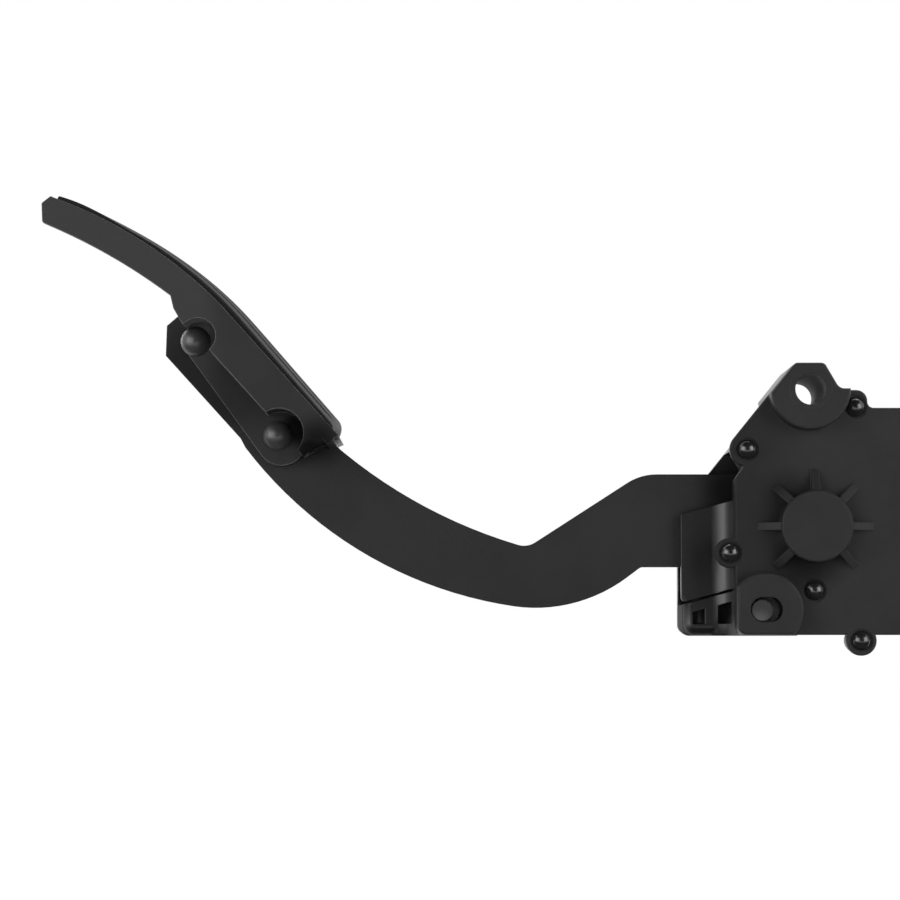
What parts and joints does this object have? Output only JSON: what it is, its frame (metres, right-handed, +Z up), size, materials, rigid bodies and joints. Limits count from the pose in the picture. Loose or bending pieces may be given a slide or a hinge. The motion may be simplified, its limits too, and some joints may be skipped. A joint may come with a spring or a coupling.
{
  "type": "accelerator pedal",
  "caption": "Hanging electronic accelerator pedal: cranked steel arm with a crowned foot pad, sprung and turning in a black sensor housing with bolt lugs, ribbed hub and connector socket.",
  "frame": {"origin": "upper bolt's axis, at the lug face that lies on the car's bracket", "axes": "+X from the foot pad towards the housing's closed end, +Y from the mounting face towards the far side (along the pivot), +Z up"},
  "size_m": [0.289, 0.0407, 0.135],
  "materials": {
    "housing_plastic": "fine grained black moulding",
    "cover_plastic": "fine grained black moulding, slightly lighter",
    "rivet_gloss": "smooth glossy black dome",
    "seal_rubber": "soft matt black",
    "steel": "plain zinc-plated steel",
    "sleeve_black": "black phosphated steel",
    "bush_plastic": "natural low-friction plastic",
    "board": "green circuit board",
    "chip": "black chip package",
    "terminal": "tinned brass blade",
    "spring_steel": "bright drawn wire",
    "arm_paint": "black powder coat, satin",
    "rotor_plastic": "glass-filled black plastic",
    "magnet": "dark ferrite",
    "pad_plastic": "satin black moulding",
    "tread_rubber": "black rubber, finely rubbed",
    "rivet_black": "black coated steel dome"
  },
  "bodies": {
    "base": {"housing": "housing_plastic", "sensor_cover": "cover_plastic", "cover_rivets": "rivet_gloss", "cover_seal": "seal_rubber", "upper_bolt_sleeve": "sleeve_black", "near_bush": "bush_plastic", "far_bush": "bush_plastic", "friction_washer": "bush_plastic", "sensor_board": "board", "hall_chips": "chip", "connector_terminals": "terminal", "return_spring_outer": "spring_steel", "return_spring_inner": "spring_steel", "idle_bumper": "seal_rubber", "end_cap": "housing_plastic"},
    "pedal": {"pedal_arm": "arm_paint", "pedal_rotor": "rotor_plastic", "arm_rivets": "steel", "pivot_shaft": "steel", "shaft_retainer": "spring_steel", "magnet_holder": "steel", "magnet": "magnet", "pad_carrier": "pad_plastic", "pad_tread": "tread_rubber", "pad_rivets": "rivet_black"}
  },
  "joints": [
    {"name": "pedal_pivot", "type": "hinge", "parent": "base", "child": "pedal", "pos_m": [0.0017, 0.0207, -0.0395], "axis": [0, -1, 0], "range_deg": [0, 15.3], "stiffness_Nm_per_rad": 14, "springref_deg": -16.04, "deforming": ["return_spring_outer", "return_spring_inner"]}
  ]
}
